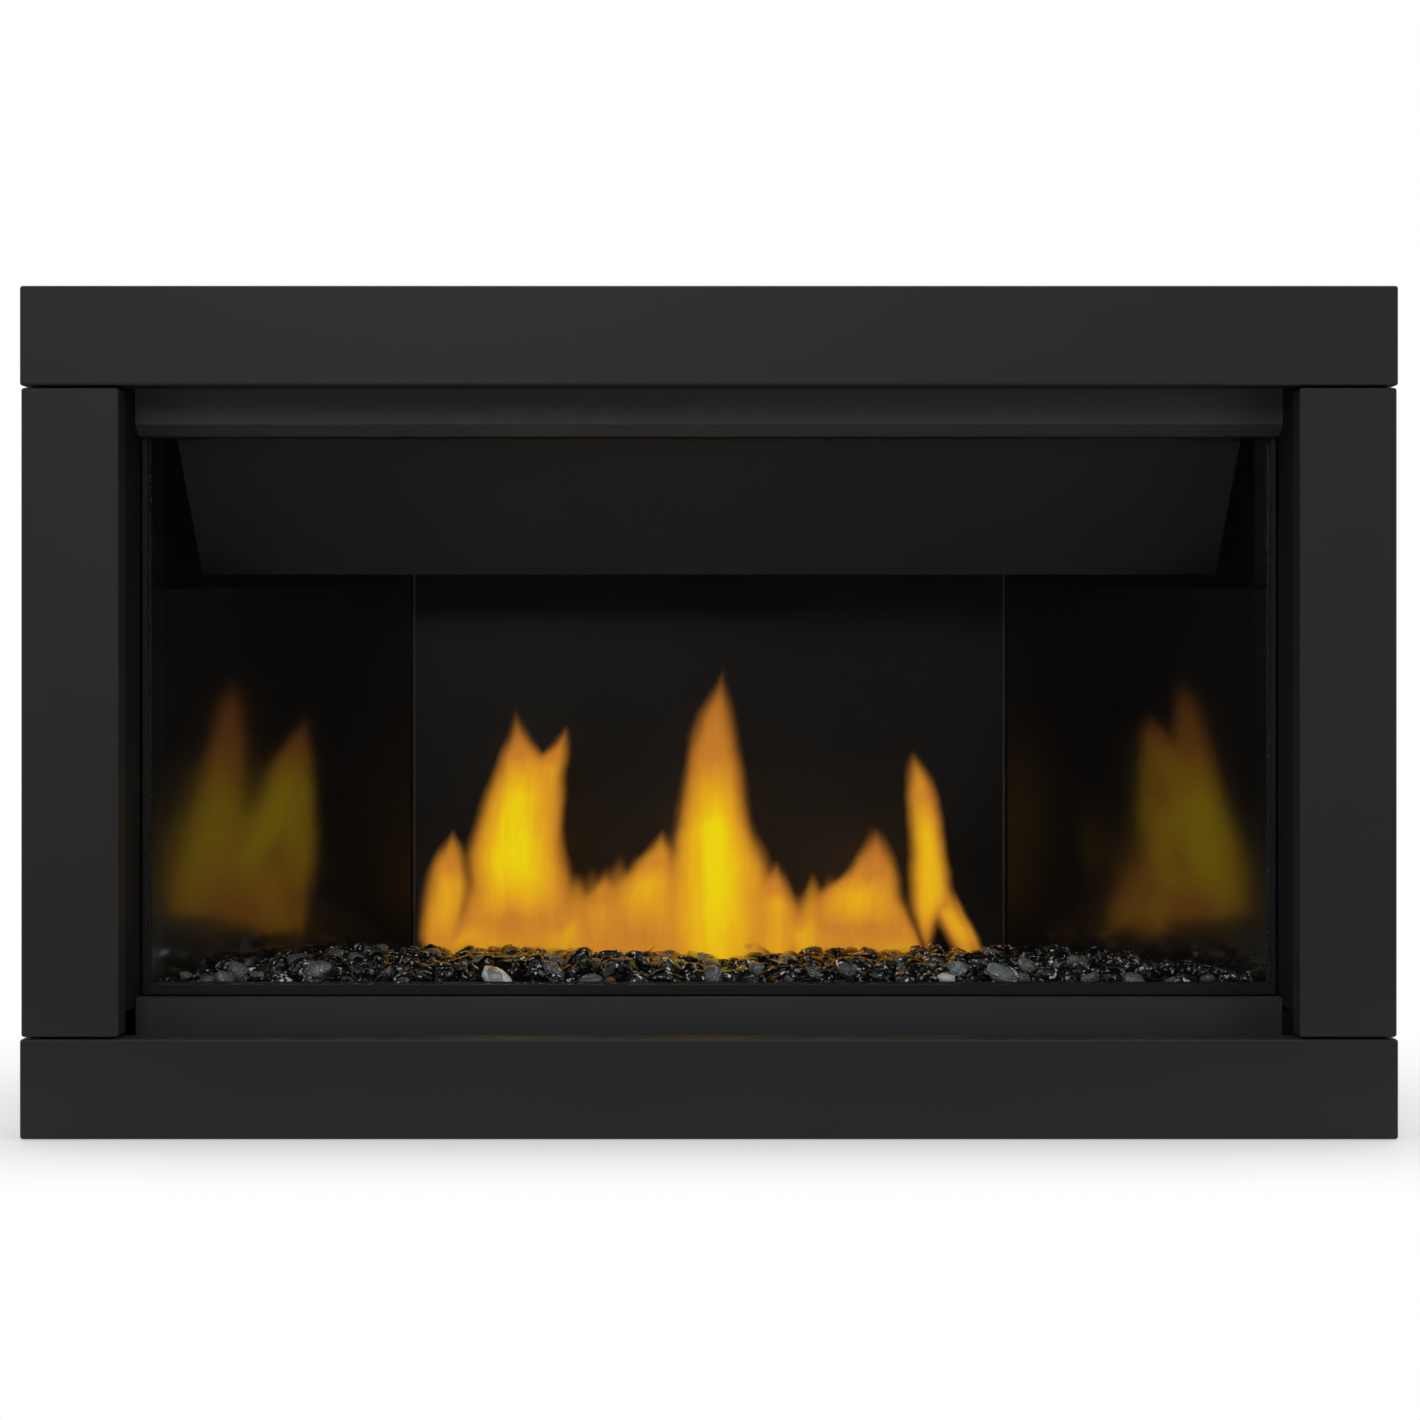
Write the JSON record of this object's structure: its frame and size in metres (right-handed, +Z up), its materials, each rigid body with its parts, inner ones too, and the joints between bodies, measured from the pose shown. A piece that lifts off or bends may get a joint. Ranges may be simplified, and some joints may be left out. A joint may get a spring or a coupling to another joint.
{
  "type": "direct vent gas fireplace",
  "caption": "Built-in sealed gas fireplace with a black trim frame, linear glass front, angled reflector panels, glass media bed and coaxial rear vent.",
  "frame": {"origin": "underside of the case, midway across its width and midway between the trim's front plane and the end of the vent collars", "axes": "+X to the right seen from the front, -Y out of the glass towards the room, +Z up"},
  "size_m": [0.99, 0.416, 0.613],
  "materials": {
    "powder_black": "satin powder coat",
    "inner_black": "matt high-temperature paint",
    "galvanised": "galvanised, spangled",
    "porcelain": "glossy black porcelain enamel",
    "plated_steel": "zinc plated",
    "cast_aluminium": "die cast",
    "brass": "machined",
    "black_plastic": "moulded",
    "white_ceramic": "glazed",
    "gasket_rope": "woven glass fibre",
    "ceramic_glass": "clear polished",
    "glass_media": "tumbled glass nuggets"
  },
  "bodies": {
    "appliance": {"top_trim_bar": "powder_black", "bottom_trim_bar": "powder_black", "left_trim_post": "powder_black", "right_trim_post": "powder_black", "case_wrap": "galvanised", "case_base": "galvanised", "case_back": "galvanised", "left_nailing_strip": "galvanised", "right_nailing_strip": "galvanised", "left_side_return": "powder_black", "right_side_return": "powder_black", "hood": "powder_black", "firebox_bulkhead": "inner_black", "firebox_floor": "inner_black", "firebox_left_wall": "inner_black", "firebox_right_wall": "inner_black", "firebox_roof": "inner_black", "firebox_back": "inner_black", "left_upper_liner": "powder_black", "right_upper_liner": "powder_black", "baffle": "powder_black", "back_reflector": "porcelain", "left_reflector": "porcelain", "right_reflector": "porcelain", "media_tray": "inner_black", "burner_pan": "plated_steel", "burner_port_plate": "plated_steel", "media_bed": "glass_media", "venturi_tube": "plated_steel", "orifice_fitting": "brass", "pilot_bracket": "plated_steel", "pilot_hood": "plated_steel", "spark_electrode": "white_ceramic", "flame_sensor": "white_ceramic", "door_hanger": "plated_steel", "left_latch_bracket": "plated_steel", "right_latch_bracket": "plated_steel", "relief_hinge": "plated_steel", "outer_air_collar": "galvanised", "inner_flue_collar": "galvanised", "gas_valve": "cast_aluminium", "shutoff_cock": "brass", "gas_flex_tube": "plated_steel", "manifold_tube": "cast_aluminium", "control_module": "black_plastic", "battery_box": "black_plastic", "junction_box": "galvanised"},
    "door": {"glass_pane": "ceramic_glass", "door_frame": "inner_black", "door_gasket": "gasket_rope"},
    "apron": {"apron_panel": "powder_black"},
    "left_latch": {"left_latch_lever": "plated_steel"},
    "right_latch": {"right_latch_lever": "plated_steel"},
    "left_flap": {"left_relief_flap": "plated_steel"},
    "right_flap": {"right_relief_flap": "plated_steel"},
    "restrictor": {"flue_restrictor": "plated_steel"},
    "shutter": {"air_shutter": "plated_steel"},
    "knob": {"valve_knob": "black_plastic"},
    "cock_lever": {"shutoff_lever": "plated_steel"},
    "rocker": {"rocker_switch": "black_plastic"}
  },
  "joints": [
    {"name": "door_swing", "type": "hinge", "parent": "appliance", "child": "door", "pos_m": [0, -0.1225, 0.53], "axis": [-1, 0, 0], "range_deg": [0, 15]},
    {"name": "apron_tip", "type": "hinge", "parent": "appliance", "child": "apron", "pos_m": [0, -0.148, 0.0018], "axis": [1, 0, 0], "range_deg": [0, 25]},
    {"name": "left_latch_release", "type": "hinge", "parent": "appliance", "child": "left_latch", "pos_m": [-0.25, -0.106, 0.08], "axis": [1, 0, 0], "range_deg": [0, 20], "stiffness_Nm_per_rad": 0.25, "springref_deg": -17.19},
    {"name": "right_latch_release", "type": "hinge", "parent": "appliance", "child": "right_latch", "pos_m": [0.25, -0.106, 0.08], "axis": [1, 0, 0], "range_deg": [0, 20], "stiffness_Nm_per_rad": 0.25, "springref_deg": -17.19},
    {"name": "left_flap_lift", "type": "hinge", "parent": "appliance", "child": "left_flap", "pos_m": [-0.24, 0.044, 0.5496], "axis": [-1, 0, 0], "range_deg": [0, 50]},
    {"name": "right_flap_lift", "type": "hinge", "parent": "appliance", "child": "right_flap", "pos_m": [0.24, 0.044, 0.5496], "axis": [-1, 0, 0], "range_deg": [0, 50]},
    {"name": "restrictor_slide", "type": "slide", "parent": "appliance", "child": "restrictor", "axis": [-1, 0, 0], "range_m": [0, 0.045]},
    {"name": "shutter_turn", "type": "hinge", "parent": "appliance", "child": "shutter", "pos_m": [0.361, 0.002, 0.0805], "axis": [1, 0, 0], "range_deg": [0, 40]},
    {"name": "knob_turn", "type": "hinge", "parent": "appliance", "child": "knob", "pos_m": [0.13, -0.096, 0.028], "axis": [0, -1, 0], "range_deg": [0, 110]},
    {"name": "cock_lever_turn", "type": "hinge", "parent": "appliance", "child": "cock_lever", "pos_m": [0.386, -0.058, 0.045], "axis": [0, 0, 1], "range_deg": [0, 90]},
    {"name": "rocker_tilt", "type": "hinge", "parent": "appliance", "child": "rocker", "pos_m": [-0.145, -0.089, 0.019], "axis": [-1, 0, 0], "range_deg": [0, 12]}
  ]
}
